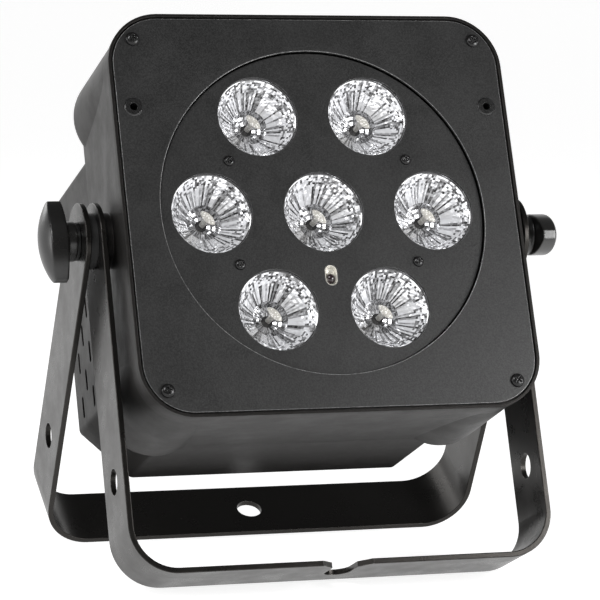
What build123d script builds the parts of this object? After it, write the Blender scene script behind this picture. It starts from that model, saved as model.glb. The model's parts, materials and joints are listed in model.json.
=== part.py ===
"""Flat LED par light on two U brackets, standing with its face tilted up.

Frame: millimetres, +Z up, the floor is z = 0, the light shines towards -Y, +X is to the right when
looking along +Y. The origin lies on the floor under the middle of the whole object's box.
Inside the lamp, heights along its tilted axis are counted from the front of the lenses (0),
positive outwards: face.offset(-30) is a plane 30 mm behind the lens fronts.
"""
import math
import os

from build123d import *

os.makedirs("parts", exist_ok=True)

# ---- stance -----------------------------------------------------------------
tilt = 24.2                    # the face looks up by this much, degrees
front_lean = 23.05             # front bracket, degrees from vertical
pivot_y = -30.64               # puts the origin under the middle of the box
pivot_up = -1.3                # pivot axis, from the middle of the face
pivot_depth = 38.1             # pivot axis, behind the lens fronts

# ---- brackets ----------------------------------------------------------------
strap_width = 38.2
strap_thick = 2.8
strap_edge = 0.5               # rounding of the strap's cut edges
bend_radius = 24.0             # outer radius of the two bends
front_half = 109.6             # outside half width of the front (inner) bracket
front_length = 172.5           # pivot axis to the underside of its base
rear_half = 117.3
rear_length = 177.0
hang_hole_radius = 6.6         # takes an M12 clamp bolt
front_hole_along = 122.6       # pivot axis to the holes in the legs
rear_hole_along = 120.2
stud_hole_radius = 4.3

# ---- housing -----------------------------------------------------------------
rim_half = 103.8
rim_radius = 27.2
rim_front = 3.3
wall = 2.6
taper_half = 98.0              # half width where the taper ends
taper_depth = 80.0
lobe_radius = 26.4
lobe_depth = 86.0
lobe_round = 12.0
box_half = 98.0
lower_chamfer = 25.0
upper_chamfer = 43.5
box_start = 55.0
housing_depth = 142.0
box_edge = 4.0
lip_wide = 1.5
ledge_wide = 4.5
panel_back = 1.5
pad_radius = 14.0
pad_end = 105.0                # outer face of the pivot pads
vent_long = 11.4
vent_wide = 3.0
vent_pitch = 23.7
vent_columns = ((105.9, -27.15), (117.7, -15.45), (129.2, -27.15))   # depth, middle height
vent_rows = 4

# ---- front -------------------------------------------------------------------
panel_half = 101.4
panel_radius = 24.5
panel_thick = 1.5
plate_opening = 84.5
plate_radius = 84.0
plate_front = 1.0
plate_thick = 1.5
lens_pitch = 58.0
lens_opening = 20.7
corner_screw = 90.3
accessory_at = (93.1, 54.7)
plate_screw_at = (46.5, 26.9)
receiver_at = -33.0
receiver_wide = 6.6
receiver_tall = 10.7

# ---- light engine ------------------------------------------------------------
lens_flange = 21.8
lens_rim = 20.2
lens_foot = 7.5
lens_back = 24.0
board_front = 27.0
board_thick = 1.6
board_radius = 82.0
sink_back = 60.0
sink_radius = 78.0
fin_pitch = 9.5
fin_thick = 1.8
fan_half = 40.0
fan_front = 61.0
fan_back = 86.0
blades = 7
post_at = (52.25, 50.0)
chassis_front = 91.5
chassis_thick = 1.5
chassis_half = 94.9

# ---- rear panel --------------------------------------------------------------
rear_face = 141.0
rear_thick = 1.5
rear_screws = ((88, -40), (88, 30), (40, 90), (40, -90))
button_y = 24.0
button_x = (-30, -10, 10, 30)
display_y = 50.0
data_x = 22.0
data_y = -16.0
mains_x = 44.0
mains_y = -62.0

# ---- clamp knobs -------------------------------------------------------------
stud_radius = 3.95
stud_bore = 4.0
stud_start = 91.0              # inner end of the stud
stud_grip = 8.0                # length held in the knob
knob_start = 119.0
hub_radius = 10.0
wing_base = 124.0
wing_top = 136.8               # crown over the middle
wing_tip_top = 131.2
wing_long = 42.0
wing_wide = 21.5               # across the middle, at the base
crown_axis = 121.0             # height of the line the crown is turned about
wing_tip = 5.0
wing_edge = 1.2                # rounding of the tips

# ---- planes ------------------------------------------------------------------
sin_tilt = math.sin(math.radians(tilt))
cos_tilt = math.cos(math.radians(tilt))
outward = Vector(0, -cos_tilt, sin_tilt)
upward = Vector(0, sin_tilt, cos_tilt)
across = Vector(1, 0, 0)

front_angle = math.radians(front_lean)
pivot_z = ((front_length - strap_edge) * math.cos(front_angle)
           + (strap_width / 2 - strap_edge) * math.sin(front_angle) + strap_edge)
pivot = Vector(0, pivot_y, pivot_z)

# the rear bracket leans until its own foot edge is on the floor too
reach = math.hypot(rear_length - strap_edge, strap_width / 2 - strap_edge)
rear_angle = (math.acos((pivot_z - strap_edge) / reach)
              + math.atan2(strap_width / 2 - strap_edge, rear_length - strap_edge))

face = Plane(origin=pivot - upward * pivot_up + outward * pivot_depth, x_dir=across, z_dir=outward)
side = Plane(origin=pivot, x_dir=-outward, z_dir=across)      # x is depth behind the pivot, y is up

lens_centres = [(0, 0)]
for step in range(6):
    turn = math.radians(60 * step)
    lens_centres.append((lens_pitch * math.cos(turn), lens_pitch * math.sin(turn)))
lens_centres.sort(key=lambda c: (-round(c[1]), round(c[0])))     # row by row, from the top left


def point(x, y, depth=0):
    """A point of the lamp: across, up the face, and behind the lens fronts."""
    return face.from_local_coords((x, y, -depth))


def section(x, y):
    """A plane through the lamp: its x is the radius, its y is outwards."""
    return Plane(origin=point(x, y), x_dir=across, z_dir=-upward)


def corners(x, y):
    """The four places that mirror each other about the middle of the face."""
    return Locations((x, y), (-x, y), (x, -y), (-x, -y))


def save(part, name):
    part.label = name
    export_step(part, f"parts/{name}.step")


def box_outline(half, inset=0.0):
    """Octagon of the rear box; the upper corners are cut off further than the lower ones."""
    cut = inset * (2 - math.sqrt(2))
    low = half - lower_chamfer - inset + cut
    high = half - upper_chamfer - inset + cut
    edge = half - inset
    Polygon((low, -edge), (edge, -low), (edge, high), (high, edge),
            (-high, edge), (-edge, high), (-edge, -low), (-low, -edge), align=None)


def shell_form(inset, front, back):
    """Outer form of the housing, or with an inset the hollow inside it."""
    with BuildPart() as lobes:
        with BuildSketch(face):
            with GridLocations(2 * (rim_half - rim_radius), 2 * (rim_half - rim_radius), 2, 2):
                Circle(lobe_radius - inset)
        extrude(amount=-(lobe_depth - inset))
        rear_edges = lobes.edges().filter_by(GeomType.CIRCLE).group_by(Axis(face.origin, outward))[0]
        fillet(rear_edges, lobe_round)
    with BuildPart() as form:
        with BuildSketch(face):
            RectangleRounded(2 * (rim_half - inset), 2 * (rim_half - inset), rim_radius - inset)
        with BuildSketch(face.offset(-taper_depth)):
            RectangleRounded(2 * (taper_half - inset), 2 * (taper_half - inset),
                             rim_radius - inset - (rim_half - taper_half))
        loft()
        with BuildSketch(face):
            RectangleRounded(2 * (rim_half - inset), 2 * (rim_half - inset), rim_radius - inset)
        extrude(amount=front)
        add(lobes.part)
        with BuildSketch(face.offset(-box_start)) as outline:
            box_outline(box_half, inset)
            fillet(outline.vertices(), box_edge)
        extrude(amount=-(back - box_start))
    return form.part


# ---- housing -----------------------------------------------------------------
outer_form = shell_form(0, rim_front, housing_depth)
inner_form = shell_form(wall, panel_back, housing_depth)

with BuildPart() as housing:
    add(outer_form)
    add(inner_form, mode=Mode.SUBTRACT)
    with BuildSketch(face.offset(panel_back)):                    # recess for the front panel
        lip_half = rim_half - lip_wide
        RectangleRounded(2 * lip_half, 2 * lip_half, rim_radius - lip_wide)
    extrude(amount=rim_front, mode=Mode.SUBTRACT)
    with BuildSketch(face.offset(-(chassis_front + chassis_thick))):      # ledge under the chassis
        box_outline(box_half, wall - 0.2)
        with BuildSketch(mode=Mode.PRIVATE) as opening:
            box_outline(box_half, wall + ledge_wide)
        add(opening.sketch, mode=Mode.SUBTRACT)
    extrude(amount=-2.5)
    with BuildSketch(face.offset(panel_back)):                    # bosses for the corner screws
        with corners(corner_screw, corner_screw):
            Circle(5)
    extrude(amount=-50)
    with BuildSketch(face.offset(panel_back)):
        with corners(corner_screw, corner_screw):
            Circle(1.6)
    extrude(amount=-16, mode=Mode.SUBTRACT)
    with BuildSketch(face.offset(-(rear_face - rear_thick))):     # bosses for the rear panel
        for x, y in rear_screws:
            with Locations((x, y), (-x, y)):
                Circle(5.5)
                if abs(y) > 80:
                    Rectangle(6, 2 * (box_half - wall + 0.5 - abs(y)))
                else:
                    Rectangle(2 * (box_half - wall + 0.5 - x), 6)
    extrude(amount=35)
    with BuildSketch(face.offset(-(rear_face - rear_thick))):
        for x, y in rear_screws:
            with Locations((x, y), (-x, y)):
                Circle(1.6)
    extrude(amount=14, mode=Mode.SUBTRACT)
    for hand in (-1, 1):
        with BuildSketch(side.offset(hand * pad_end)):            # pivot pads, outside and inside
            Circle(pad_radius)
        extrude(amount=-hand * 9)
        with BuildSketch(side.offset(hand * 100)):
            Circle(12)
        extrude(amount=-hand * 11)
        with BuildSketch(side.offset(hand * 110)):                # seat of the thread insert
            Circle(7)
        extrude(amount=-hand * 30, mode=Mode.SUBTRACT)
        for depth, middle in vent_columns:
            with BuildSketch(side.offset(hand * 92)):
                with Locations((depth - pivot_depth, middle - pivot_up)):
                    with GridLocations(0, vent_pitch, 1, vent_rows):
                        SlotOverall(vent_long, vent_wide, rotation=90)
            extrude(amount=hand * 12, mode=Mode.SUBTRACT)
save(housing.part, "housing")

# ---- front panel and what it carries -------------------------------------------
with BuildPart() as front_panel:
    with BuildSketch(face.offset(panel_back)):
        RectangleRounded(2 * panel_half, 2 * panel_half, panel_radius)
        Circle(plate_opening, mode=Mode.SUBTRACT)
        with corners(corner_screw, corner_screw):
            Circle(2.1, mode=Mode.SUBTRACT)
        with Locations(accessory_at, (-accessory_at[0], accessory_at[1])):
            Circle(3.05, mode=Mode.SUBTRACT)
    extrude(amount=panel_thick)
    panel_front = front_panel.faces().sort_by(Axis(face.origin, outward))[-1]
    hole_edges = panel_front.edges().filter_by(lambda e: abs(e.length - 2 * math.pi * plate_opening) < 1)
    fillet(panel_front.outer_wire().edges() + hole_edges, 0.5)
save(front_panel.part, "front_panel")

with BuildPart() as accessory_inserts:
    for x in (-accessory_at[0], accessory_at[0]):
        with BuildSketch(section(x, accessory_at[1])) as profile:
            Polygon((2.0, 3.6), (4.2, 3.6), (4.8, 3.0), (3.0, 3.0), (3.0, -9.0), (2.0, -9.0), align=None)
        revolve(axis=Axis(point(x, accessory_at[1]), outward))
save(accessory_inserts.part, "accessory_inserts")

with BuildPart() as lens_plate:
    with BuildSketch(face.offset(plate_front - plate_thick)):
        Circle(plate_radius)
        with Locations(*lens_centres):
            Circle(lens_opening, mode=Mode.SUBTRACT)
        with corners(*plate_screw_at):
            Circle(1.8, mode=Mode.SUBTRACT)
        with Locations((0, receiver_at)):
            SlotOverall(receiver_tall + 0.2, receiver_wide + 0.2, rotation=90, mode=Mode.SUBTRACT)
    extrude(amount=plate_thick)
    fillet(lens_plate.faces().sort_by(Axis(face.origin, outward))[-1].outer_wire().edges(), 0.4)
save(lens_plate.part, "lens_plate")

with BuildPart() as receiver_bezel:
    with BuildSketch(face.offset(-4.5)):
        with Locations((0, receiver_at)):
            SlotOverall(receiver_tall, receiver_wide, rotation=90)
    extrude(amount=5.3)
    with BuildSketch(face.offset(-4.5)):
        with Locations((0, receiver_at)):
            SlotOverall(receiver_tall - 1.4, receiver_wide - 1.4, rotation=90)
    extrude(amount=6, mode=Mode.SUBTRACT)
save(receiver_bezel.part, "receiver_bezel")

with BuildPart() as remote_receiver:
    with BuildSketch(section(0, receiver_at - 1.3)) as profile:
        with BuildLine():
            Polyline((0, -20), (2.5, -20), (2.5, -1.9))
            RadiusArc((2.5, -1.9), (0, 0.6), -2.5)
            Line((0, 0.6), (0, -20))
        make_face()
    revolve(axis=Axis(point(0, receiver_at - 1.3), outward))
save(remote_receiver.part, "remote_receiver")


def pan_screws(places, seat, head_radius, shank_radius, length):
    """Pan-head screws with a cross recess: one solid at each place, head outwards."""
    with BuildPart() as screws:
        for x, y in places:
            with BuildSketch(section(x, y)):
                with BuildLine():
                    ThreePointArc((0, seat + 0.62 * head_radius),
                                  (0.62 * head_radius, seat + 0.5 * head_radius),
                                  (head_radius, seat))
                    Polyline((head_radius, seat), (shank_radius, seat), (shank_radius, seat - length),
                             (0, seat - length), (0, seat + 0.62 * head_radius))
                make_face()
            revolve(axis=Axis(point(x, y), outward))
        with BuildSketch(face.offset(seat + 0.12 * head_radius)):
            with Locations(*places):
                Rectangle(1.15 * head_radius, 0.26 * head_radius, rotation=20)
                Rectangle(0.26 * head_radius, 1.15 * head_radius, rotation=20)
        extrude(amount=head_radius, mode=Mode.SUBTRACT)
    return screws.part


def mirrored(x, y):
    return [(x, y), (-x, y), (x, -y), (-x, -y)]


with BuildPart() as front_panel_screws:
    add(pan_screws(mirrored(corner_screw, corner_screw), panel_back + panel_thick, 3.6, 1.5, 15))
save(front_panel_screws.part, "front_panel_screws")

with BuildPart() as lens_plate_screws:
    add(pan_screws(mirrored(*plate_screw_at), plate_front, 2.8, 1.3, 9))
save(lens_plate_screws.part, "lens_plate_screws")

# ---- light engine ----------------------------------------------------------------
for number, (x, y) in enumerate(lens_centres, start=1):
    axis = Axis(point(x, y), outward)
    with BuildPart() as lens:
        with BuildSketch(section(x, y)):
            with BuildLine():
                Polyline((0, -5.6), (8.4, -5.6), (9.3, -0.6), (lens_flange, -0.6),
                         (lens_flange, -2.6), (lens_rim, -2.6))
                ThreePointArc((lens_rim, -2.6), (15.6, -14.5), (lens_foot, -lens_back))
                Polyline((lens_foot, -lens_back), (4.2, -lens_back), (4.0, -18), (0, -16.5), (0, -5.6))
            make_face()
        revolve(axis=axis)
    save(lens.part, f"lens_{number}")
    with BuildPart() as lens_holder:
        with BuildSketch(section(x, y)):
            with BuildLine():
                ThreePointArc((20.9, -2.8), (16.2, -14.9), (8.1, -24.6))
                Polyline((8.1, -24.6), (6.2, -24.8), (6.2, -board_front), (10.4, -board_front))
                ThreePointArc((10.4, -board_front), (18.0, -16.0), (22.4, -4.6))
                Polyline((22.4, -4.6), (22.4, -2.8), (20.9, -2.8))
            make_face()
        revolve(axis=axis)
    save(lens_holder.part, f"lens_holder_{number}")

with BuildPart() as led_emitters:
    with BuildSketch(face.offset(-board_front)):
        with Locations(*lens_centres):
            Rectangle(7, 7)
    extrude(amount=1.0)
    for x, y in lens_centres:
        with BuildSketch(section(x, y)):
            with BuildLine():
                CenterArc((0, 1.0 - board_front), 2.9, 0, 90)
                Polyline((0, 3.9 - board_front), (0, 1.0 - board_front), (2.9, 1.0 - board_front))
            make_face()
        revolve(axis=Axis(point(x, y), outward))
save(led_emitters.part, "led_emitters")

with BuildPart() as led_board:
    with BuildSketch(face.offset(-board_front)):
        Circle(board_radius)
        with corners(*plate_screw_at):
            Circle(3.4, mode=Mode.SUBTRACT)
        with Locations((0, -72), (0, 72)):
            SlotOverall(14, 5, mode=Mode.SUBTRACT)
        with Locations((0, receiver_at - 1.3)):
            Rectangle(4, 4, mode=Mode.SUBTRACT)
    extrude(amount=-board_thick)
save(led_board.part, "led_board")

sink_front = board_front + board_thick
sink_base = 5.0
with BuildPart() as heat_sink:
    with BuildSketch(face.offset(-sink_front)):
        Circle(sink_radius)
    extrude(amount=-sink_base)
    with BuildSketch(face.offset(-(sink_front + sink_base))):
        with GridLocations(fin_pitch, 0, 15, 1):
            Rectangle(fin_thick, 2 * sink_radius)
        Circle(sink_radius - 2, mode=Mode.INTERSECT)
    extrude(amount=-(sink_back - sink_front - sink_base))
save(heat_sink.part, "heat_sink")

with BuildPart() as lens_plate_posts:
    with BuildSketch(face.offset(plate_front - plate_thick)):
        with corners(*plate_screw_at):
            RegularPolygon(3.1, 6)
            Circle(1.4, mode=Mode.SUBTRACT)
    extrude(amount=-(sink_front + plate_front - plate_thick))
save(lens_plate_posts.part, "lens_plate_posts")

with BuildPart() as chassis_posts:
    with BuildSketch(face.offset(-(sink_front + sink_base))):
        with corners(*post_at):
            RegularPolygon(3.4, 6)
    extrude(amount=-(chassis_front - sink_front - sink_base))
save(chassis_posts.part, "chassis_posts")

with BuildPart() as chassis_plate:
    with BuildSketch(face.offset(-chassis_front)) as chassis_outline:
        box_outline(chassis_half)
        fillet(chassis_outline.vertices(), box_edge)
        Circle(36, mode=Mode.SUBTRACT)
        for x, y in rear_screws:
            with Locations((x, y), (-x, y)):
                Circle(7, mode=Mode.SUBTRACT)
        with Locations((0, 66), (-66, -40), (66, -40)):
            SlotOverall(24, 10, mode=Mode.SUBTRACT)
    extrude(amount=-chassis_thick)
    with BuildSketch(face.offset(-(chassis_front + chassis_thick))):      # stand-offs
        with Locations((-54, -70), (54, -70), (-54, 4), (54, 4)):
            RegularPolygon(3, 6)
    extrude(amount=-5)
save(chassis_plate.part, "chassis_plate")

chassis_back = chassis_front + chassis_thick
with BuildPart() as power_supply:
    with BuildSketch(face.offset(-chassis_back)):
        with Locations((0, 50)):
            Rectangle(104, 50)
    extrude(amount=-32)
    with BuildSketch(face.offset(-(chassis_back + 1.2))):
        with Locations((0, 50)):
            Rectangle(101.6, 47.6)
    extrude(amount=-29.6, mode=Mode.SUBTRACT)
    with BuildSketch(face.offset(-chassis_back)):                         # air slots in its cover
        with Locations((0, 50)):
            with GridLocations(8, 0, 11, 1):
                SlotOverall(36, 3, rotation=90)
    extrude(amount=-34, mode=Mode.SUBTRACT)
    with BuildSketch(face.offset(-(chassis_back + 1.2))):                 # transformer and capacitors
        with Locations((-24, 50)):
            Rectangle(26, 30)
        with Locations((8, 58), (8, 40)):
            Circle(8)
        with Locations((34, 50)):
            Rectangle(20, 34)
    extrude(amount=-22)
save(power_supply.part, "power_supply")

driver_front = chassis_back + 5
with BuildPart() as driver_board:
    with BuildSketch(face.offset(-driver_front)):
        with Locations((0, -33)):
            RectangleRounded(120, 84, 3)
    extrude(amount=-1.6)
save(driver_board.part, "driver_board")

with BuildPart() as driver_components:
    with BuildSketch(face.offset(-(driver_front + 1.6))):
        with Locations((-40, -8), (-20, -8), (0, -8), (20, -8), (40, -8)):
            Circle(5)
    extrude(amount=-9)
    with BuildSketch(face.offset(-(driver_front + 1.6))):
        with GridLocations(20, 0, 5, 1):
            with Locations((0, -26)):
                RectangleRounded(11, 11, 2)
    extrude(amount=-5)
    with BuildSketch(face.offset(-(driver_front + 1.6))):
        with Locations((0, -50)):
            Rectangle(14, 14)
        with Locations((-30, -48), (30, -48)):
            Rectangle(12, 8)
        with Locations((-52, -30), (52, -30)):
            Rectangle(6, 24)
    extrude(amount=-2.2)
save(driver_components.part, "driver_components")

with BuildPart() as fan_frame:
    with BuildSketch(face.offset(-fan_front)):
        RectangleRounded(2 * fan_half, 2 * fan_half, 5)
        Circle(38, mode=Mode.SUBTRACT)
        with GridLocations(71.5, 71.5, 2, 2):
            Circle(2.2, mode=Mode.SUBTRACT)
    extrude(amount=-(fan_back - fan_front))
    with BuildSketch(face.offset(-(fan_back - 3))):                       # motor seat and its arms
        Circle(16)
        Rectangle(78, 4, rotation=45)
        Rectangle(78, 4, rotation=-45)
    extrude(amount=-3)
    with BuildSketch(face.offset(-(fan_back - 3))):                       # bearing tube
        Circle(4)
    extrude(amount=14)
save(fan_frame.part, "fan_frame")

with BuildPart() as fan_blade:
    with BuildSketch(Plane.YZ.offset(14)):
        Rectangle(18.5, 1.3, rotation=38)
    extrude(amount=22)
with BuildPart(face.offset(-(fan_front + 11))) as fan_rotor:
    with BuildSketch(face.offset(-(fan_front + 2))):
        Circle(15.5)
    extrude(amount=-19.5)
    with PolarLocations(0, blades):
        add(fan_blade.part)
    with BuildSketch(face.offset(-(fan_front + 21.5))):                   # hollow over the bearing
        Circle(4.06)
    extrude(amount=14, mode=Mode.SUBTRACT)
save(fan_rotor.part, "fan_rotor")

# ---- rear panel and what it carries ------------------------------------------------
rear_inner = rear_face - rear_thick
with BuildPart() as rear_panel:
    with BuildSketch(face.offset(-rear_inner)) as panel_outline:
        box_outline(chassis_half)
        fillet(panel_outline.vertices(), box_edge)
        for x, y in rear_screws:
            with Locations((x, y), (-x, y)):
                Circle(2.0, mode=Mode.SUBTRACT)
        with Locations((0, display_y)):
            Rectangle(44, 16, mode=Mode.SUBTRACT)
        with Locations(*[(x, button_y) for x in button_x]):
            Circle(4.4, mode=Mode.SUBTRACT)
        with Locations((data_x, data_y), (-data_x, data_y)):
            Circle(12.0, mode=Mode.SUBTRACT)
        with Locations((data_x, data_y + 12.4)):                          # room for the release tab
            Rectangle(9.2, 5.2, mode=Mode.SUBTRACT)
        with Locations((-mains_x, mains_y)):
            Rectangle(28, 34, mode=Mode.SUBTRACT)
        with Locations((mains_x, mains_y)):
            Rectangle(28, 24, mode=Mode.SUBTRACT)
        with Locations((0, 72)):
            with GridLocations(7.5, 0, 13, 1):
                SlotOverall(14, 3, rotation=90, mode=Mode.SUBTRACT)
        with Locations((-9, 87), (9, 87)):
            Circle(2.6, mode=Mode.SUBTRACT)
    extrude(amount=-rear_thick)
save(rear_panel.part, "rear_panel")

with BuildPart() as rear_panel_screws:
    for x, y in rear_screws:
        for spot in ((x, y), (-x, y)):
            with BuildSketch(section(*spot)):
                with BuildLine():
                    ThreePointArc((0, -rear_face - 1.9), (1.9, -rear_face - 1.5), (3.0, -rear_face))
                    Polyline((3.0, -rear_face), (1.5, -rear_face), (1.5, 12 - rear_face),
                             (0, 12 - rear_face), (0, -rear_face - 1.9))
                make_face()
            revolve(axis=Axis(point(*spot), outward))
            with BuildSketch(face.offset(-rear_face - 0.5)):
                with Locations(spot):
                    Rectangle(3.4, 0.8, rotation=35)
                    Rectangle(0.8, 3.4, rotation=35)
            extrude(amount=-3, mode=Mode.SUBTRACT)
save(rear_panel_screws.part, "rear_panel_screws")

display_back = rear_inner - 4.5
with BuildPart() as display_window:
    with BuildSketch(face.offset(-rear_face)):
        with Locations((0, display_y)):
            RectangleRounded(50, 22, 2)
    extrude(amount=-1.0)
    with BuildSketch(face.offset(-rear_face)):
        with Locations((0, display_y)):
            Rectangle(43.6, 15.6)
    extrude(amount=2.0)
save(display_window.part, "display_window")

with BuildPart() as display_board:
    with BuildSketch(face.offset(-display_back)):
        with Locations((0, 37)):
            RectangleRounded(78, 46, 2)
    extrude(amount=1.6)
    with BuildSketch(face.offset(-display_back)):                         # four-digit display
        with Locations((0, display_y)):
            Rectangle(40, 13)
    extrude(amount=-2.2)
    with BuildSketch(face.offset(-display_back)):                         # tact switches
        with Locations(*[(x, button_y) for x in button_x]):
            Rectangle(6, 6)
    extrude(amount=-1.8)
save(display_board.part, "display_board")

button_travel = 0.6
for number, x in enumerate(button_x, start=1):
    with BuildPart() as button:
        with BuildSketch(section(x, button_y)):
            foot = -(display_back + 1.8 + button_travel + 0.1)
            Polygon((0, foot), (5.2, foot), (5.2, foot - 1.4), (4.0, foot - 1.4),
                    (4.0, -rear_face - 1.6), (3.3, -rear_face - 2.3), (0, -rear_face - 2.3), align=None)
        revolve(axis=Axis(point(x, button_y), outward))
    save(button.part, f"button_{number}")

socket_face = rear_face + 1.6
socket_back = rear_face - 22


def data_shell():
    """Square-flanged round receptacle body, without its inside, centred on the face's axis."""
    with BuildPart() as shell:
        with BuildSketch(face.offset(-rear_face)):
            RectangleRounded(26, 31, 2.5)
            with Locations((-9.5, 12), (9.5, -12)):
                Circle(1.6, mode=Mode.SUBTRACT)
        extrude(amount=-(socket_face - rear_face))
        with BuildSketch(face.offset(-rear_face)):
            Circle(11.8)
        extrude(amount=rear_face - socket_back)
    return shell.part


def at_place(part, x, y):
    return part.moved(Location(across * x + upward * y))


pin_places = ((-4.2, 2.4), (4.2, 2.4), (0, -4.8))
with BuildPart() as data_in:
    add(data_shell())
    with BuildSketch(face.offset(-socket_face)):
        Circle(9.3)
    extrude(amount=15, mode=Mode.SUBTRACT)
    with BuildSketch(face.offset(-(socket_face - 15))):
        with Locations(*pin_places):
            Circle(1.2)
    extrude(amount=-12.5)
data_in_socket = at_place(data_in.part, -data_x, data_y)
save(data_in_socket, "data_in_socket")

with BuildPart() as data_out:
    add(data_shell())
    with BuildSketch(face.offset(-socket_face)):
        Circle(9.4)
        Circle(7.6, mode=Mode.SUBTRACT)
    extrude(amount=13, mode=Mode.SUBTRACT)
    with BuildSketch(face.offset(-socket_face)):
        with Locations(*pin_places):
            Circle(1.35)
    extrude(amount=12, mode=Mode.SUBTRACT)
    with BuildSketch(face.offset(-socket_face)):                          # slot of the release tab
        with Locations((0, 12.4)):
            Rectangle(8.6, 4.6)
    extrude(amount=6, mode=Mode.SUBTRACT)
data_out_socket = at_place(data_out.part, data_x, data_y)
save(data_out_socket, "data_out_socket")

with BuildPart() as data_out_latch:
    with BuildSketch(face.offset(-(socket_face - 3))):
        with Locations((data_x, data_y + 12.4)):
            Rectangle(8.0, 4.0)
    extrude(amount=-4.0)
    top = data_out_latch.faces().sort_by(Axis(face.origin, outward))[0]
    fillet(top.edges(), 0.5)
save(data_out_latch.part, "data_out_latch")

mains_face = rear_face + 1.8
with BuildPart() as mains_inlet:
    with BuildSketch(face.offset(-rear_face)):
        with Locations((-mains_x, mains_y)):
            RectangleRounded(34, 40, 2)
    extrude(amount=-(mains_face - rear_face))
    with BuildSketch(face.offset(-rear_face)):
        with Locations((-mains_x, mains_y)):
            Rectangle(27.6, 33.6)
    extrude(amount=20)
    with BuildSketch(face.offset(-mains_face)) as inlet_mouth:
        with Locations((-mains_x, mains_y + 5)):
            Polygon((-12.2, -8), (12.2, -8), (12.2, 4), (8.4, 8), (-8.4, 8), (-12.2, 4), align=None)
    extrude(amount=15, mode=Mode.SUBTRACT)
    with BuildSketch(face.offset(-(mains_face - 15))):                    # three flat pins
        with Locations((-mains_x, mains_y + 7), (-mains_x - 7, mains_y + 2), (-mains_x + 7, mains_y + 2)):
            Rectangle(2.0, 4.0)
    extrude(amount=-11)
    with BuildSketch(face.offset(-mains_face)):                           # channel of the fuse drawer
        with Locations((-mains_x, mains_y - 11)):
            Rectangle(24, 7.6)
    extrude(amount=20, mode=Mode.SUBTRACT)
save(mains_inlet.part, "mains_inlet")

with BuildPart() as fuse_drawer:
    with BuildSketch(face.offset(-(mains_face - 18))):
        with Locations((-mains_x, mains_y - 11)):
            Rectangle(23.4, 7.0)
    extrude(amount=-18.6)
    with BuildSketch(face.offset(-(mains_face + 0.6))):                   # grip notch
        with Locations((-mains_x, mains_y - 11)):
            Rectangle(8, 1.6)
    extrude(amount=1.2, mode=Mode.SUBTRACT)
save(fuse_drawer.part, "fuse_drawer")

with BuildPart() as mains_outlet:
    with BuildSketch(face.offset(-rear_face)):
        with Locations((mains_x, mains_y)):
            RectangleRounded(34, 30, 2)
    extrude(amount=-(mains_face - rear_face))
    with BuildSketch(face.offset(-rear_face)):
        with Locations((mains_x, mains_y)):
            Rectangle(27.6, 23.6)
    extrude(amount=20)
    with BuildSketch(face.offset(-mains_face)):                           # groove round the centre block
        with Locations((mains_x, mains_y)):
            Polygon((-12.4, -8.4), (12.4, -8.4), (12.4, 4.2), (8.6, 8.4), (-8.6, 8.4), (-12.4, 4.2),
                    align=None)
            Polygon((-10.2, -6.4), (10.2, -6.4), (10.2, 3.2), (7.4, 6.2), (-7.4, 6.2), (-10.2, 3.2),
                    align=None, mode=Mode.SUBTRACT)
    extrude(amount=14, mode=Mode.SUBTRACT)
    with BuildSketch(face.offset(-mains_face)):
        with Locations((mains_x, mains_y)):
            with Locations((0, 2.4), (-6.6, -2.4), (6.6, -2.4)):
                Rectangle(2.2, 4.2)
    extrude(amount=14, mode=Mode.SUBTRACT)
save(mains_outlet.part, "mains_outlet")

with BuildPart() as safety_eye:
    with BuildLine(Plane(origin=point(0, 87), x_dir=across, z_dir=-upward)) as wire:
        leg_in = Line((-9, -rear_face + 6), (-9, -rear_face - 6))
        ThreePointArc((-9, -rear_face - 6), (0, -rear_face - 15), (9, -rear_face - 6))
        Line((9, -rear_face - 6), (9, -rear_face + 6))
    with BuildSketch(Plane(origin=leg_in @ 0, z_dir=leg_in % 0)):
        Circle(2.5)
    sweep()
save(safety_eye.part, "safety_eye")


# ---- brackets ----------------------------------------------------------------------
def strap(half, length, lean, hole_along):
    """U-bent strap: legs down from the pivot axis, joined by a base across the bottom.

    lean is the angle of the legs from vertical, positive towards the back.
    """
    down = Vector(0, math.sin(lean), -math.cos(lean))
    edgeways = across.cross(down)
    leg_plane = Plane(origin=pivot, x_dir=across, z_dir=edgeways)        # y runs along the legs
    sense = 1 if leg_plane.y_dir.dot(down) > 0 else -1
    with BuildPart() as bent:
        with BuildSketch(leg_plane) as profile:
            with BuildLine():
                foot = sense * length
                top = -sense * strap_width / 2
                Polyline((-half, top), (-half, foot), (half, foot), (half, top), (-half, top))
            make_face()
            fillet(profile.vertices().filter_by(lambda v: abs(v.Y - foot) < 1), bend_radius)
            with BuildSketch(mode=Mode.PRIVATE) as hollow:
                with BuildLine():
                    low = sense * (length - strap_thick)
                    high = -sense * (strap_width / 2 + 1)
                    inner = half - strap_thick
                    Polyline((-inner, high), (-inner, low), (inner, low), (inner, high), (-inner, high))
                make_face()
                fillet(hollow.vertices().filter_by(lambda v: abs(v.Y - low) < 1), bend_radius - strap_thick)
            add(hollow.sketch, mode=Mode.SUBTRACT)
        extrude(amount=strap_width / 2, both=True)
        # round leg ends about the pivot axis
        with BuildSketch(Plane(origin=pivot - across * (half + 1), x_dir=down, z_dir=across)):
            with Locations((length / 2 + 1, 0)):
                Rectangle(length + 2, strap_width)
            Circle(strap_width / 2)
        extrude(amount=2 * half + 2, mode=Mode.INTERSECT)
        fillet(bent.edges().filter_by(lambda e: on_strap_edge(e, edgeways)), strap_edge)
        with BuildSketch(Plane(origin=pivot - across * (half + 1), x_dir=down, z_dir=across)):
            Circle(stud_hole_radius)
            with Locations((hole_along, 0)):
                Circle(hang_hole_radius)
        extrude(amount=2 * half + 2, mode=Mode.SUBTRACT)
    return bent.part, down, edgeways


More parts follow.
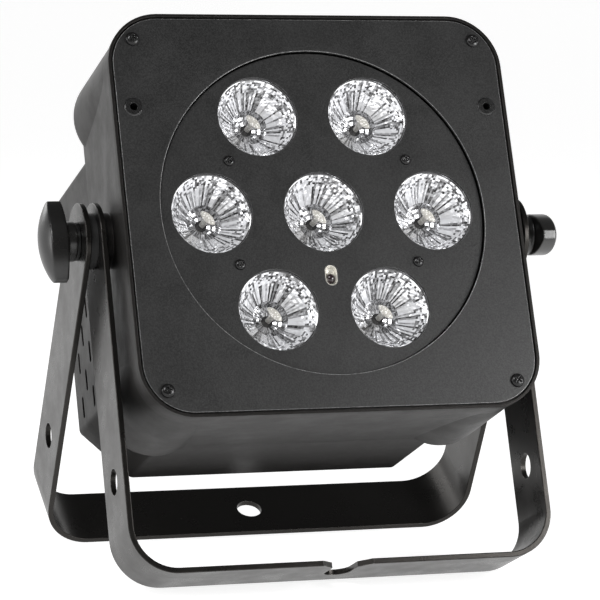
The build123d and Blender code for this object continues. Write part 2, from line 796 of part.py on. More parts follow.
def on_strap_edge(edge, edgeways):
    """True for the long cut edges of a strap, on either side of its width, and its round ends."""
    length_across = abs((edge.position_at(0) - edge.position_at(1)).dot(edgeways))
    if length_across > strap_width - 1 and edge.geom_type == GeomType.LINE:
        return False
    return edge.length > strap_thick + 1


front_part, front_down, front_edgeways = strap(front_half, front_length, -front_angle, front_hole_along)
with BuildPart() as front_bracket:
    add(front_part)
    # hooking slot: a hole in the middle of the base, open to the front through a flared mouth
    forward = front_edgeways if front_edgeways.Y < 0 else -front_edgeways
    with BuildSketch(Plane(origin=pivot + front_down * (front_length + 1), x_dir=forward, z_dir=-front_down)):
        Circle(hang_hole_radius)
        with Locations((strap_width / 4 + 1, 0)):
            Rectangle(strap_width / 2 + 2, 2 * hang_hole_radius)
        Polygon((strap_width / 2 - 6.4, 0), (strap_width / 2 - 6.4, hang_hole_radius),
                (strap_width / 2 + 1, hang_hole_radius + 7.4), (strap_width / 2 + 1, -hang_hole_radius - 7.4),
                (strap_width / 2 - 6.4, -hang_hole_radius), align=None)
    extrude(amount=strap_thick + 2, mode=Mode.SUBTRACT)
save(front_bracket.part, "front_bracket")

rear_part, rear_down, rear_edgeways = strap(rear_half, rear_length, rear_angle, rear_hole_along)
with BuildPart() as rear_bracket:
    add(rear_part)
    with BuildSketch(Plane(origin=pivot + rear_down * (rear_length + 1), x_dir=across, z_dir=-rear_down)):
        Circle(hang_hole_radius)
    extrude(amount=strap_thick + 2, mode=Mode.SUBTRACT)
save(rear_bracket.part, "rear_bracket")


def discs(start, end, radius, bore):
    """One ring on the pivot axis at each side of the lamp."""
    with BuildPart() as rings:
        for hand in (-1, 1):
            with BuildSketch(side.offset(hand * start)):
                Circle(radius)
                Circle(bore, mode=Mode.SUBTRACT)
            extrude(amount=hand * (end - start))
    return rings.part


clearance = 0.3
with BuildPart() as bracket_spacers:
    add(discs(front_half, rear_half - strap_thick - clearance, pad_radius, stud_hole_radius))
save(bracket_spacers.part, "bracket_spacers")

with BuildPart() as friction_pads:
    add(discs(pad_end, front_half - strap_thick - clearance, pad_radius, stud_hole_radius))
save(friction_pads.part, "friction_pads")

with BuildPart() as thread_inserts:
    add(discs(89.5, pad_end, 6.95, stud_bore))
save(thread_inserts.part, "thread_inserts")

# ---- clamp knobs -------------------------------------------------------------------
# direction of each wing, degrees from straight back, in the plane across the pivot axis
for name, hand, wing_angle in (("left", -1, 86.0), ("right", 1, 17.7)):
    turn = math.radians(wing_angle)
    wing = -outward * math.cos(turn) + upward * math.sin(turn)
    out = across * hand
    stem = Plane(origin=pivot + out * knob_start, x_dir=wing, z_dir=out)
    long_view = Plane(origin=pivot, x_dir=wing, z_dir=wing.cross(out))    # y is outwards
    with BuildPart() as grip:
        half_long = wing_long / 2
        half_wide = wing_wide / 2
        half_tip = wing_tip / 2
        with BuildSketch(stem) as plan:
            with BuildLine():
                ThreePointArc((-half_long, half_tip), (0, half_wide), (half_long, half_tip))
                Line((half_long, half_tip), (half_long, -half_tip))
                ThreePointArc((half_long, -half_tip), (0, -half_wide), (-half_long, -half_tip))
                Line((-half_long, -half_tip), (-half_long, half_tip))
            make_face()
            fillet(plan.vertices(), wing_edge)
        extrude(amount=wing_top - knob_start + 1)
        with BuildSketch(long_view):
            with BuildLine():
                ThreePointArc((-half_long, wing_tip_top), (0, wing_top), (half_long, wing_tip_top))
                Polyline((half_long, wing_tip_top), (half_long, crown_axis), (-half_long, crown_axis),
                         (-half_long, wing_tip_top))
            make_face()
        revolve(axis=Axis(pivot + out * crown_axis, wing), mode=Mode.INTERSECT)
        with BuildSketch(stem.offset(wing_base - knob_start)):
            Rectangle(2 * wing_long, 2 * wing_wide)
        extrude(amount=wing_wide, mode=Mode.INTERSECT)
    with BuildPart() as knob:
        add(grip.part)
        with BuildSketch(stem):
            Circle(hub_radius)
        extrude(amount=wing_base - knob_start + 1)
        with BuildSketch(stem):
            Circle(stud_radius)
        extrude(amount=stud_grip, mode=Mode.SUBTRACT)
    save(knob.part, f"knob_{name}")

    with BuildPart() as clamp_stud:
        with BuildSketch(side.offset(hand * stud_start)):
            Circle(stud_radius)
        extrude(amount=hand * (knob_start + stud_grip - stud_start))
        tip = clamp_stud.faces().sort_by(Axis(pivot, out))[0]
        chamfer(tip.edges(), 0.8)
    save(clamp_stud.part, f"clamp_stud_{name}")

    with BuildPart() as clamp_washer:
        with BuildSketch(side.offset(hand * (rear_half + clearance))):
            Circle(9.6)
            Circle(stud_hole_radius, mode=Mode.SUBTRACT)
        extrude(amount=hand * 1.2)
    save(clamp_washer.part, f"clamp_washer_{name}")
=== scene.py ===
"""Looks of the flat LED par light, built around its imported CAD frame.

The frame is in metres: +Z up, and the light shines towards -Y. Pieces of the lamp itself are
drawn in its own axes first (x across, y up the face, z outwards from the lens fronts) and then
laid into the frame by the matrix LAMP. Outlines are written in millimetres and scaled
by MM where their points are made.
"""
import json
import math
import random

import bmesh
import bpy
from mathutils import Euler, Matrix, Vector


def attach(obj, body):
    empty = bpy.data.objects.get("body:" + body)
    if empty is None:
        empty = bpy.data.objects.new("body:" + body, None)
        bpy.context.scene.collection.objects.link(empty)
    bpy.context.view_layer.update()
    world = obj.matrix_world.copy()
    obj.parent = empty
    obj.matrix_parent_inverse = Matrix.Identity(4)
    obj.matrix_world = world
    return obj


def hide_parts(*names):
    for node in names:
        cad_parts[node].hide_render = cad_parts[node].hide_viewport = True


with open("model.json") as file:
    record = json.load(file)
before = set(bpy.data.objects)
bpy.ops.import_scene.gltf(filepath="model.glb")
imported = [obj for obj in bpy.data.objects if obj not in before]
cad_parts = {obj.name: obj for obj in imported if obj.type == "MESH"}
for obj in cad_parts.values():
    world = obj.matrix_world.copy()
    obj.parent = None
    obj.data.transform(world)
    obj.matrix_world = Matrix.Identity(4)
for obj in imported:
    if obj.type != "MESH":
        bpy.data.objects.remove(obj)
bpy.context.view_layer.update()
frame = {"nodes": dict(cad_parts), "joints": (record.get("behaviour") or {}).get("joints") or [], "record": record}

nodes = frame["nodes"]
joints = {joint["name"]: joint for joint in frame["joints"]}
MM = 0.001

# ---- the lamp's own axes ------------------------------------------------------
outward = Vector(joints["fan_spin"]["axis"]).normalized()
across = Vector((1, 0, 0))
upward = outward.cross(across)
pivot = Vector(joints["front_bracket_tilt"]["pos_m"])
PIVOT_UP = -1.3 * MM
PIVOT_DEPTH = 38.1 * MM
LAMP = Matrix((across, upward, outward)).transposed().to_4x4()
LAMP.translation = pivot - upward * PIVOT_UP + outward * PIVOT_DEPTH

LENS_PITCH = 58 * MM
LINE_RADIUS = 0.2 * MM

# Outlines on the face, in millimetres.
PANEL_HALF = 101.15
PANEL_CORNER = 24.25
DISC_RADIUS = 84.62
RECEIVER_UP = -33.0
DOME_UP = -34.1
DOME_RADIUS = 2.68

lens_centres = [(0.0, 0.0)]
for step in range(6):
    turn = math.radians(60 * step)
    lens_centres.append((LENS_PITCH * math.cos(turn), LENS_PITCH * math.sin(turn)))
lens_centres.sort(key=lambda c: (-round(c[1], 3), round(c[0], 3)))


# ---- material nodes -----------------------------------------------------------
finishes = {}


class Shader:
    """A material under construction: a Principled shader and short ways to add nodes to it."""

    def __init__(self, name, **sockets):
        self.material = bpy.data.materials.new(name)
        finishes[name] = self.material
        self.material.use_nodes = True
        self.tree = self.material.node_tree
        self.body = self.tree.nodes["Principled BSDF"]
        for socket, value in sockets.items():
            self.body.inputs[socket.replace("_", " ")].default_value = value
        self.place = self.node("ShaderNodeTexCoord").outputs["Object"]

    def node(self, kind, settings=None, **inputs):
        """Adds a node; an input is a value or a link, by its name or, as i0, i1, by its number."""
        made = self.tree.nodes.new(kind)
        for key, value in (settings or {}).items():
            setattr(made, key, value)
        for key, value in inputs.items():
            numbered = key[0] == "i" and key[1:].isdigit()
            socket = made.inputs[int(key[1:]) if numbered else key.replace("_", " ")]
            if isinstance(value, bpy.types.NodeSocket):
                self.tree.links.new(value, socket)
            else:
                socket.default_value = value
        return made

    def noise(self, size, detail=2.0, stretch=(1, 1, 1), rough=0.5):
        """Noise from 0 to 1 whose lumps are about size metres across."""
        at = self.node("ShaderNodeMapping", Vector=self.place, Scale=stretch).outputs[0]
        made = self.node("ShaderNodeTexNoise", Vector=at, Scale=1 / size, Detail=detail,
                         Roughness=rough)
        return made.outputs["Fac"]

    def ramp(self, value, low, high, start=0.0, end=1.0):
        """Maps low..high of a value smoothly to start..end."""
        made = self.node("ShaderNodeMapRange", {"interpolation_type": "SMOOTHSTEP"},
                         Value=value, i1=low, i2=high, i3=start, i4=end)
        return made.outputs[0]

    def maths(self, operation, first, second):
        return self.node("ShaderNodeMath", {"operation": operation}, i0=first, i1=second).outputs[0]

    def mix(self, factor, first, second):
        made = self.node("ShaderNodeMix", {"data_type": "RGBA"}, i0=factor, i6=first, i7=second)
        return made.outputs[2]

    def link(self, value, socket):
        self.tree.links.new(value, self.body.inputs[socket])


def grey(value, warmth=0.0):
    return (value * (1 + warmth), value, value * (1 - warmth), 1)


def surface(name, colour, roughness, metallic=0.0, grain=0.6 * MM, relief=0.02 * MM, speck=0.25,
            blotch=30 * MM, shade=0.06, spread=0.05, edge=None, edge_radius=0.5 * MM, edge_wear_and_highlight=0.6,
            rounded=0.25 * MM, stretch=(1, 1, 1), **sockets):
    """A hard surface: grain in relief and tone, broad shade and gloss changes, paler edges that are partly wear
    and partly a painted highlight.
    """
    s = Shader(name, Metallic=metallic, **sockets)
    broad = s.noise(blotch, 3.0, stretch)
    fine = s.noise(grain, 2.0, stretch)
    reach = speck + shade
    darker = tuple(c * (1 - reach) for c in colour[:3]) + (1,)
    lighter = tuple(min(1, c * (1 + reach)) for c in colour[:3]) + (1,)
    speckle = s.maths("MULTIPLY", s.ramp(fine, 0.3, 0.7), speck / reach)
    paint = s.mix(s.maths("ADD", speckle, s.maths("MULTIPLY", broad, shade / reach)), darker, lighter)
    soft_edge = s.node("ShaderNodeBevel", {"samples": 4}, Radius=rounded).outputs[0]
    # Paler colour along the edges: partly wear, partly a painted highlight on them.
    if edge:
        wide = s.node("ShaderNodeBevel", {"samples": 4}, Radius=edge_radius).outputs[0]
        flat = s.node("ShaderNodeNewGeometry").outputs["Normal"]
        alike = s.node("ShaderNodeVectorMath", {"operation": "DOT_PRODUCT"}, i0=wide, i1=flat)
        edge_band = s.ramp(alike.outputs["Value"], 0.97, 0.75)
        patchy = s.ramp(s.noise(4 * MM, 4.0), 0.42, 0.62, 0.25, 1.0)
        mask = s.maths("MULTIPLY", s.maths("MULTIPLY", edge_band, patchy), edge_wear_and_highlight)
        paint = s.mix(mask, paint, edge)
    s.link(paint, "Base Color")
    smudge = s.noise(blotch * 0.6, 4.0, stretch, 0.62)
    gloss = s.ramp(smudge, 0.3, 0.7, max(0.02, roughness - spread), min(1, roughness + spread))
    s.link(gloss, "Roughness")
    bump = s.node("ShaderNodeBump", Height=fine, Distance=relief, Strength=1.0, Normal=soft_edge)
    s.link(bump.outputs[0], "Normal")


# ---- materials ----------------------------------------------------------------
STEEL = (0.56, 0.55, 0.53, 1)
surface("panel_paint", grey(0.015), 0.46, grain=0.8 * MM, relief=0.09 * MM, speck=0.5,
        edge=grey(0.22), edge_wear_and_highlight=0.8, edge_radius=0.6 * MM, rounded=0.35 * MM)
surface("bracket_paint", grey(0.004, 0.06), 0.30, grain=0.8 * MM, relief=0.025 * MM,
        edge=grey(0.30, 0.03), edge_wear_and_highlight=0.9, edge_radius=0.8 * MM, Specular_IOR_Level=0.37,
        Specular_Tint=(1, 0.94, 0.88, 1))
surface("rear_paint", grey(0.013), 0.48, grain=0.8 * MM, relief=0.07 * MM, speck=0.5, edge=grey(0.2))
surface("housing_plastic", grey(0.007, 0.06), 0.46, grain=0.8 * MM, relief=0.06 * MM,
        speck=0.4, edge=grey(0.06, 0.04), rounded=0.8 * MM, edge_radius=0.8 * MM,
        Specular_IOR_Level=0.24, Specular_Tint=(1, 0.95, 0.93, 1))
surface("knob_plastic", grey(0.010, 0.04), 0.30, grain=0.7 * MM, relief=0.03 * MM,
        edge=grey(0.05), rounded=0.5 * MM, Specular_IOR_Level=0.7)
surface("button_plastic", grey(0.035), 0.5, grain=0.3 * MM, relief=0.01 * MM, blotch=4 * MM)
surface("socket_plastic", grey(0.016), 0.42, grain=0.5 * MM, relief=0.02 * MM)
surface("spacer_plastic", grey(0.018), 0.5, grain=0.5 * MM, relief=0.02 * MM)
surface("holder_plastic", grey(0.05), 0.4, grain=0.5 * MM)
surface("component_black", grey(0.02), 0.5)
surface("fan_plastic", grey(0.02), 0.4, grain=0.5 * MM)
surface("pad_rubber", grey(0.015), 0.8, grain=0.3 * MM, relief=0.05 * MM)
surface("black_screw", grey(0.022), 0.22, metallic=0.6, grain=0.3 * MM, relief=0.008 * MM,
        blotch=2 * MM, edge=grey(0.5), edge_radius=0.3 * MM, rounded=0.1 * MM, edge_wear_and_highlight=0.9)
surface("washer_black", grey(0.02), 0.35, metallic=0.5, grain=0.5 * MM, edge=grey(0.2))
surface("insert_metal", grey(0.05), 0.3, metallic=0.8, blotch=2 * MM, edge=grey(0.25))
surface("socket_metal", grey(0.03), 0.3, metallic=0.5, edge=grey(0.3))
surface("post_steel", STEEL, 0.3, metallic=1.0)
surface("zinc_steel", (0.55, 0.56, 0.52, 1), 0.38, metallic=1.0, grain=2.5 * MM, blotch=9 * MM)
surface("eye_steel", STEEL, 0.28, metallic=1.0, grain=0.4 * MM, relief=0.01 * MM, blotch=6 * MM)
surface("stud_steel", STEEL, 0.26, metallic=1.0, grain=0.3 * MM, relief=0.01 * MM, blotch=3 * MM)
surface("sink_aluminium", (0.74, 0.74, 0.75, 1), 0.34, metallic=1.0, stretch=(1, 0.05, 1))
surface("circuit_board", (0.012, 0.10, 0.035, 1), 0.35, blotch=6 * MM)
surface("board_white", grey(0.75), 0.4)
# Lighter paint for the edge beads: a painted highlight along the panel's edges.
surface("edge_highlight_paint", grey(0.20), 0.3, metallic=0.3, grain=0.6 * MM, speck=0.5, blotch=12 * MM,
        shade=0.3)


def lens_silver_painted_glints():
    """Clear acrylic whose faceted wall throws the light back, so that each facet is a mirror; how light or dark
    each facet looks is painted reflection and shade in its tone, and the lens glows with painted light.
    """
    # Emission from the same tone is painted light: the lens glows though no lamp is inside it.
    s = Shader("lens_clear", Metallic=0.7, Emission_Strength=0.18, Coat_Weight=0.8,
               Coat_Roughness=0.04)
    # The tone attribute holds painted reflections and painted shade, facet by facet; it sets the mirror colour and
    # the glow.
    tone = s.node("ShaderNodeAttribute", {"attribute_name": "tone"}).outputs["Fac"]
    shine = s.mix(tone, (0.012, 0.011, 0.010, 1), (0.97, 0.975, 1.0, 1))
    s.link(shine, "Base Color")
    s.link(shine, "Emission Color")
    s.link(s.ramp(s.noise(2.5 * MM, 3.0), 0.3, 0.7, 0.06, 0.20), "Roughness")


def frosted_plastic():
    """Finely dimpled window in the middle of each lens."""
    s = Shader("lens_frost", IOR=1.49, Coat_Weight=0.4)
    cells = s.node("ShaderNodeTexVoronoi", {"feature": "F1"}, Vector=s.place, Scale=1 / (0.9 * MM))
    dots = cells.outputs[0]
    s.link(s.mix(s.ramp(dots, 0.15, 0.6), (0.97, 0.96, 0.93, 1), (0.50, 0.48, 0.44, 1)), "Base Color")
    s.link(s.ramp(dots, 0.1, 0.6, 0.25, 0.5), "Roughness")
    bump = s.node("ShaderNodeBump", Height=dots, Distance=0.12 * MM, Strength=1.0)
    s.link(bump.outputs[0], "Normal")


def smoked_plastic():
    """Dark window over the display: lets a little red through."""
    s = Shader("window_smoke", Base_Color=(0.10, 0.022, 0.02, 1), IOR=1.49, Transmission_Weight=0.6)
    s.link(s.ramp(s.noise(8 * MM, 4.0), 0.3, 0.7, 0.04, 0.16), "Roughness")


def receiver_plastic():
    """Almost black plastic of the infrared dome."""
    s = Shader("receiver_dark", IOR=1.5, Coat_Weight=0.5)
    tint = s.mix(s.noise(2 * MM, 2.0), (0.012, 0.006, 0.008, 1), (0.022, 0.012, 0.014, 1))
    s.link(tint, "Base Color")
    s.link(s.ramp(s.noise(3 * MM, 3.0), 0.3, 0.7, 0.06, 0.14), "Roughness")


def bright_bezel():
    """Pale glossy reflector round the infrared dome."""
    s = Shader("bezel_clear", Metallic=0.25, Coat_Weight=0.4)
    s.link(s.mix(s.noise(1.5 * MM, 2.0), (0.78, 0.75, 0.66, 1), (0.93, 0.91, 0.85, 1)), "Base Color")
    s.link(s.ramp(s.noise(1 * MM, 3.0), 0.3, 0.7, 0.15, 0.3), "Roughness")


def phosphor():
    """Yellow phosphor of the light chips under clear silicone."""
    s = Shader("led_phosphor", IOR=1.41, Coat_Weight=1.0, Coat_Roughness=0.05)
    powder = s.ramp(s.noise(0.8 * MM, 3.0), 0.4, 0.6)
    s.link(s.mix(powder, (0.75, 0.55, 0.12, 1), (0.9, 0.75, 0.3, 1)), "Base Color")
    s.link(s.ramp(s.noise(0.5 * MM), 0.3, 0.7, 0.25, 0.45), "Roughness")


lens_silver_painted_glints()
frosted_plastic()
smoked_plastic()
receiver_plastic()
bright_bezel()
phosphor()

slot_of = {part["node"]: part["material_slot"] for part in frame["record"]["subparts"]}
for name, node in nodes.items():
    node.data.materials.clear()
    node.data.materials.append(finishes[slot_of[name]])


# ---- mesh helpers -------------------------------------------------------------
def piece(name, bm, slot, matrix=LAMP, smooth=None, replaced=(), finish=None):
    """Turns a bmesh into an object that rides on the lamp; without a smooth angle it stays flat.

    The finish is the slot's own one unless another is named.
    """
    mesh = bpy.data.meshes.new(name)
    bmesh.ops.recalc_face_normals(bm, faces=bm.faces)
    bm.to_mesh(mesh)
    bm.free()
    mesh.transform(matrix)
    mesh.materials.append(finishes[finish or slot])
    made = bpy.data.objects.new(name, mesh)
    bpy.context.scene.collection.objects.link(made)
    if smooth is not None:
        mesh.shade_smooth()
        mesh.set_sharp_from_angle(angle=math.radians(smooth))
    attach(made, "lamp")
    if replaced:
        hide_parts(*replaced)


def lathe(bm, profile, steps, centre=(0.0, 0.0), close=False):
    """Revolves (radius, height) points about an axis through centre; radius 0 makes a pole."""
    rings = []
    for radius, height in profile:
        if radius == 0:
            rings.append([bm.verts.new((centre[0], centre[1], height))])
            continue
        ring = []
        for i in range(steps):
            turn = 2 * math.pi * i / steps
            at = (centre[0] + radius * math.cos(turn), centre[1] + radius * math.sin(turn), height)
            ring.append(bm.verts.new(at))
        rings.append(ring)
    pairs = list(zip(rings, rings[1:]))
    if close:
        pairs.append((rings[-1], rings[0]))
    for low, high in pairs:
        if len(low) == len(high) == 1:
            continue
        for i in range(steps):
            ahead = i + 1
            corners = [low[i % len(low)], low[ahead % len(low)],
                       high[ahead % len(high)], high[i % len(high)]]
            bm.faces.new(dict.fromkeys(corners))


# ---- lenses -------------------------------------------------------------------
def lens_bmesh(seed):
    """Solid of a lens: clear rim edged by a thin ring of painted shade, bowl of flat facets whose uneven shine is
    painted reflection in a per-facet tone, and a well darkened by painted shade.
    """
    rnd = random.Random(seed)
    bm = bmesh.new()
    tone = bm.faces.layers.float.new("tone")
    facets = 96
    tiers = 13
    mouth, mouth_height = 20.1, -1.5
    narrowing, depth, crown = 11.0, 13.0, 0.9
    rim = [(21.8, -2.6), (21.8, -1.1), (21.55, -0.75), (21.0, -0.6), (20.75, -0.75), (20.55, -1.3),
           (mouth, mouth_height)]
    bowl = []
    for i in range(1, tiers + 1):
        share = i / tiers
        bulge = crown * math.sin(math.pi * share)
        bowl.append((mouth - narrowing * share + bulge, mouth_height - depth * share ** 1.15))
    well = [(8.95, -16.2), (8.8, -18.2), (8.6, -20.3), (7.3, -19.7), (6.0, -20.3), (4.6, -19.7),
            (3.0, -20.4), (0, -20.5)]
    back = [(0, -21.5), (9.6, -21.5), (10.2, -15.5), (20.6, -3.0)]
    profile = [(r * MM, z * MM) for r, z in rim + bowl + well + back]
    lathe(bm, profile, facets, close=True)
    for v in bm.verts:
        radius = math.hypot(v.co.x, v.co.y)
        if 9.3 * MM < radius < 19.9 * MM and v.co.z > -14.2 * MM:
            v.co.z += rnd.uniform(-0.10, 0.10) * MM
            pull = 1 + rnd.uniform(-0.006, 0.006)
            v.co.x *= pull
            v.co.y *= pull
    # Tones of the faces: painted reflections and painted shade, not the acrylic's own colour.
    spokes = [rnd.uniform(0, 1) for _ in range(facets)]
    for face in bm.faces:
        at = face.calc_center_median()
        radius = math.hypot(at.x, at.y) / MM
        spoke = spokes[int(math.atan2(at.y, at.x) / (2 * math.pi) % 1 * facets) % facets]
        # Painted shade: the bottom of the well is near black, and its wall is darker except at its outer edge.
        if at.z < -15 * MM and radius < 3:
            face[tone] = 0.06
        elif at.z < -15 * MM:
            lit = 1.0 if radius > 8.5 else 0.3 + 0.7 * spoke
            face[tone] = rnd.uniform(0.05, 0.9) * lit
        # Painted shade: a thin dark ring at the lens rim, inside the pale flange.
        elif radius > 20.9:
            face[tone] = 0.85
        elif radius > 20.2:
            face[tone] = 0.10
        # Painted reflections: bright and dark facets streak the bowl along random spokes.
        elif radius > 15.5:
            bright = rnd.random() > 0.6 * (1.3 - spoke)
            face[tone] = 1.0 if bright else rnd.uniform(0.02, 0.4)
        else:
            face[tone] = 1.0 if spoke > 0.5 else max(0.03, spoke * 1.3 + rnd.uniform(-0.2, 0.2))
    return bm


def window_bmesh():
    """Pointed oval frosted window on a slim clear stem, with a low dome."""
    bm = bmesh.new()
    steps = 40
    half_long, half_wide = 4.7, 2.2
    stem = [(0.3, -20.0), (0.3, -8.2)]
    dome = [(1.0, -7.4), (1.0, -6.9), (0.93, -6.6), (0.7, -6.35), (0.35, -6.2)]
    rings = []
    for share, height in stem + dome:
        ring = []
        for i in range(steps):
            turn = 2 * math.pi * i / steps
            width = half_wide * math.sin(turn) * (0.55 + 0.45 * abs(math.sin(turn)))
            at = (half_long * math.cos(turn) * share * MM, width * share * MM, height * MM)
            ring.append(bm.verts.new(at))
        rings.append(ring)
    for low, high in zip(rings, rings[1:]):
        for i in range(steps):
            bm.faces.new((low[i], low[(i + 1) % steps], high[(i + 1) % steps], high[i]))
    bm.faces.new(rings[0])
    bm.faces.new(rings[-1])
    return bm


for number, (x, y) in enumerate(lens_centres, start=1):
    spot = LAMP @ Matrix.Translation((x, y, 0))
    turned = spot @ Matrix.Rotation(0.13 * number, 4, "Z")
    slanted = spot @ Matrix.Rotation(math.radians(-48), 4, "Z")
    piece(f"lens_{number}_optic", lens_bmesh(number), "lens_clear", turned,
          replaced=[f"lens_{number}"])
    piece(f"lens_{number}_window", window_bmesh(), "lens_clear", slanted, 40, finish="lens_frost")


# ---- remote receiver ----------------------------------------------------------
def oblong(reach, height, steps=24):
    """Points of a stadium outline round the receiver opening, with ends of radius reach."""
    half_straight = 2.05
    points = []
    for i in range(steps):
        turn = 2 * math.pi * i / steps
        shift = half_straight if 0 <= turn < math.pi else -half_straight
        up = RECEIVER_UP + shift + reach * math.sin(turn)
        points.append((reach * math.cos(turn) * MM, up * MM, height * MM))
    return points


def receiver_cup():
    """Pale oblong reflector round the receiver, with a rolled edge and a sloping floor."""
    bm = bmesh.new()
    profile = [(3.28, -4.4), (3.28, 0.45), (3.12, 0.72), (2.88, 0.72), (2.74, 0.4), (2.5, -1.2),
               (1.7, -2.3), (0.6, -2.5)]
    rings = [[bm.verts.new(at) for at in oblong(reach, height)] for reach, height in profile]
    for low, high in zip(rings, rings[1:]):
        for i in range(len(low)):
            bm.faces.new((low[i - 1], low[i], high[i], high[i - 1]))
    bm.faces.new(rings[0])
    bm.faces.new(rings[-1])
    return bm


def receiver_dome():
    """Dark infrared dome, low in the cup."""
    bm = bmesh.new()
    dome_height, foot = -2.1, -4.5
    dome = []
    for angle in range(0, 91, 10):
        turn = math.radians(angle)
        dome.append((DOME_RADIUS * math.sin(turn), dome_height + DOME_RADIUS * math.cos(turn)))
    profile = [(r * MM, z * MM) for r, z in dome + [(DOME_RADIUS, foot), (0, foot)]]
    lathe(bm, profile, 40, (0.0, DOME_UP * MM))
    return bm


piece("receiver_cup", receiver_cup(), "bezel_clear", smooth=50, replaced=["receiver_bezel"])
piece("receiver_dome", receiver_dome(), "receiver_dark", smooth=50, replaced=["remote_receiver"])


# ---- painted highlight lines --------------------------------------------------
def edge_line(bm, path, radius):
    """Closed thin bead of round section along a path of (point, side direction) in the face plane."""
    sides = 8
    out = Vector((0, 0, 1))
    rings = []
    for at, side_way in path:
        ring = []
        for i in range(sides):
            turn = 2 * math.pi * i / sides
            way = side_way * math.cos(turn) + out * math.sin(turn)
            ring.append(bm.verts.new(at + way * radius))
        rings.append(ring)
    for i, ring in enumerate(rings):
        ahead = rings[(i + 1) % len(rings)]
        for j in range(sides):
            after = (j + 1) % sides
            bm.faces.new((ring[j], ring[after], ahead[after], ahead[j]))


def round_path(radius, height, steps=180):
    """Circle round the lamp's axis."""
    path = []
    for i in range(steps):
        turn = 2 * math.pi * i / steps
        way = Vector((math.cos(turn), math.sin(turn), 0))
        path.append((way * radius * MM + Vector((0, 0, height * MM)), way))
    return path


def square_path(half, corner, height, steps=16):
    """Square of half width half round the lamp's axis, with corners of radius corner."""
    path = []
    for quarter in range(4):
        start = math.radians(90 * quarter)
        middle = Vector((half - corner, half - corner, 0))
        middle.rotate(Euler((0, 0, start)))
        for i in range(steps + 1):
            turn = start + math.radians(90) * i / steps
            way = Vector((math.cos(turn), math.sin(turn), 0))
            path.append(((middle + way * corner + Vector((0, 0, height))) * MM, way))
    return path


# Thin beads round the disc opening and the panel border, painted lighter as highlight lines.
edges = bmesh.new()
edge_line(edges, round_path(DISC_RADIUS, 2.80), LINE_RADIUS)
edge_line(edges, square_path(PANEL_HALF, PANEL_CORNER, 2.78), LINE_RADIUS)
piece("panel_edge_line", edges, "panel_paint", smooth=60, finish="edge_highlight_paint")


# ---- front screws -------------------------------------------------------------
def screw_head(bm, x, y, seat, radius, rise, turn):
    """Pan head with a deep cross recess, drawn as a fine polar grid that drops inside the cross."""
    steps = 64
    rows = 14
    rings = []
    for row in range(rows + 1):
        share = row / rows
        ring = []
        for i in range(steps):
            angle = 2 * math.pi * i / steps
            r = radius * share
            a, b = r * math.cos(angle - turn), r * math.sin(angle - turn)
            height = rise * math.sqrt(max(0.0, 1 - 0.93 * share ** 3))
            near, far = sorted((abs(a), abs(b)))
            outside = max(near - 0.13 * radius, far - 0.55 * radius)
            inside = max(0.0, min(1.0, -outside / (0.05 * radius)))
            height -= inside * (0.34 - 0.2 * far / radius) * radius
            ring.append(bm.verts.new(((x + r * math.cos(angle)) * MM, (y + r * math.sin(angle)) * MM,
                                      (seat + height) * MM)))
            if row == 0:
                break
        rings.append(ring)
    rings.append([bm.verts.new((v.co.x, v.co.y, seat * MM)) for v in rings[-1]])
    for low, high in zip(rings, rings[1:]):
        for i in range(steps):
            ahead = i + 1
            corners = [low[i % len(low)], low[ahead % len(low)], high[ahead % steps], high[i]]
            bm.faces.new(dict.fromkeys(corners))
    bm.faces.new(rings[-1])


def screw_row(name, across_at, up_at, seat, radius, rise):
    """Four screw heads, one in each quarter of the face, each turned by chance."""
    bm = bmesh.new()
    rnd = random.Random(name)
    for x in (-across_at, across_at):
        for y in (-up_at, up_at):
            screw_head(bm, x, y, seat, radius, rise, rnd.uniform(0, math.pi))
    piece(f"{name}_heads", bm, "black_screw", smooth=40, replaced=[name])


screw_row("front_panel_screws", across_at=90.3, up_at=90.3, seat=3.0, radius=3.55, rise=2.2)
screw_row("lens_plate_screws", across_at=46.5, up_at=26.9, seat=0.8, radius=2.78, rise=1.9)


# ---- knobs --------------------------------------------------------------------
def softened(name, voxel, passes):
    """Copy of a CAD node whose edges are rounded over by a fine remesh and smoothing."""
    node = nodes[name]
    bpy.context.view_layer.update()
    mesh = node.data.copy()
    mesh.transform(node.matrix_world)
    copy = bpy.data.objects.new(f"{name}_soft", mesh)
    bpy.context.scene.collection.objects.link(copy)
    remesh = copy.modifiers.new("remesh", "REMESH")
    remesh.mode = "VOXEL"
    remesh.voxel_size = voxel
    smooth = copy.modifiers.new("smooth", "SMOOTH")
    smooth.factor = 0.5
    smooth.iterations = passes
    found = copy.evaluated_get(bpy.context.evaluated_depsgraph_get())
    rounded = bpy.data.meshes.new_from_object(found)
    copy.modifiers.clear()
    copy.data = rounded
    rounded.materials.clear()
    rounded.materials.append(finishes[slot_of[name]])
    rounded.shade_smooth()
    bpy.data.meshes.remove(mesh)
    return copy


for side in ("left", "right"):
    knob = softened(f"knob_{side}", voxel=0.35 * MM, passes=10)
    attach(knob, f"knob_{side}")
    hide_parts(f"knob_{side}")


# ---- studio -------------------------------------------------------------------
FLOOR_REACH = 30
LOOK_AT = (0, 0, 0.15)


def floor():
    """Wide plain floor that glows a little, so that it stays white round the light's shadow."""
    bm = bmesh.new()
    bmesh.ops.create_grid(bm, x_segments=1, y_segments=1, size=FLOOR_REACH)
    mesh = bpy.data.meshes.new("floor")
    bm.to_mesh(mesh)
    bm.free()
    made = bpy.data.objects.new("floor", mesh)
    bpy.context.scene.collection.objects.link(made)
    s = Shader("floor_white", Base_Color=(0.5, 0.5, 0.5, 1), Roughness=0.9,
               Emission_Color=(1, 1, 1, 1), Emission_Strength=0.86, Specular_IOR_Level=0.1)
    mesh.materials.append(s.material)


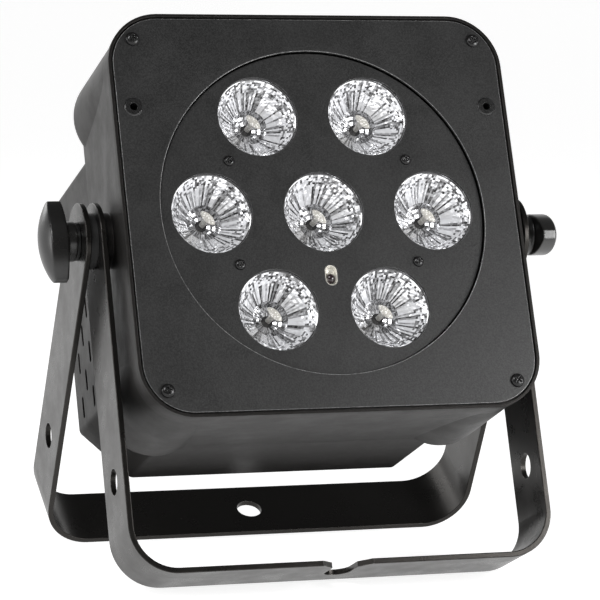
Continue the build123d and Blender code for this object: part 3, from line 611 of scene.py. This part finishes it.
def softbox(name, place, size, power, target=LOOK_AT):
    """Rectangular area light at a place, turned towards its target."""
    light = bpy.data.lights.new(name, "AREA")
    light.shape = "RECTANGLE"
    light.size, light.size_y = size
    light.energy = power
    made = bpy.data.objects.new(name, light)
    made.location = place
    made.rotation_euler = (Vector(target) - Vector(place)).to_track_quat("-Z", "Y").to_euler()
    bpy.context.scene.collection.objects.link(made)


def studio():
    """Floor, four softboxes and a pale world that is dark overhead and in front of the lamp."""
    floor()
    world = bpy.data.worlds.new("studio")
    world.use_nodes = True
    tree = world.node_tree
    back = tree.nodes["Background"]
    sky = tree.nodes.new("ShaderNodeTexCoord")

    def fade(low, high):
        made = tree.nodes.new("ShaderNodeMapRange")
        made.interpolation_type = "SMOOTHSTEP"
        for number, value in enumerate((low, high, 1.0, 0.10), start=1):
            made.inputs[number].default_value = value
        return made

    facing = tree.nodes.new("ShaderNodeVectorMath")
    facing.operation = "DOT_PRODUCT"
    facing.inputs[1].default_value = Vector((0.12, -0.80, 0.58)).normalized()
    split = tree.nodes.new("ShaderNodeSeparateXYZ")
    front = fade(-0.1, 0.75)
    ceiling = fade(0.25, 0.6)
    both = tree.nodes.new("ShaderNodeMath")
    both.operation = "MINIMUM"
    tree.links.new(sky.outputs["Generated"], facing.inputs[0])
    tree.links.new(sky.outputs["Generated"], split.inputs[0])
    tree.links.new(facing.outputs["Value"], front.inputs[0])
    tree.links.new(split.outputs["Z"], ceiling.inputs[0])
    tree.links.new(front.outputs[0], both.inputs[0])
    tree.links.new(ceiling.outputs[0], both.inputs[1])
    tree.links.new(both.outputs[0], back.inputs["Color"])
    bpy.context.scene.world = world
    bpy.context.scene.view_settings.view_transform = "Standard"
    softbox("key", place=(-0.9, -1.1, 1.6), size=(0.6, 0.5), power=14)
    softbox("left", place=(-1.3, -0.1, 0.55), size=(0.4, 0.6), power=3)
    softbox("back", place=(-0.8, 1.4, 0.9), size=(0.8, 0.8), power=7)
    softbox("low_right", place=(0.42, -0.50, 0.26), size=(0.28, 0.28), power=2.8,
            target=(0.05, 0, 0.15))


CAMERA_LENS = 189.12
CAMERA_FROM_PIVOT = (-0.5014, -1.5116)
CAMERA_HEIGHT = 0.3383
CAMERA_TURN = (82.704, -1.180, -18.200)


def camera():
    """Stands left of the light, a little above it, with a long lens."""
    data = bpy.data.cameras.new("camera")
    data.sensor_width = 36
    data.lens = CAMERA_LENS
    data.clip_end = 100
    made = bpy.data.objects.new("camera", data)
    made.location = (pivot.x + CAMERA_FROM_PIVOT[0], pivot.y + CAMERA_FROM_PIVOT[1], CAMERA_HEIGHT)
    made.rotation_euler = Euler([math.radians(angle) for angle in CAMERA_TURN], "XYZ")
    bpy.context.scene.collection.objects.link(made)
    bpy.context.scene.camera = made


studio()
camera()
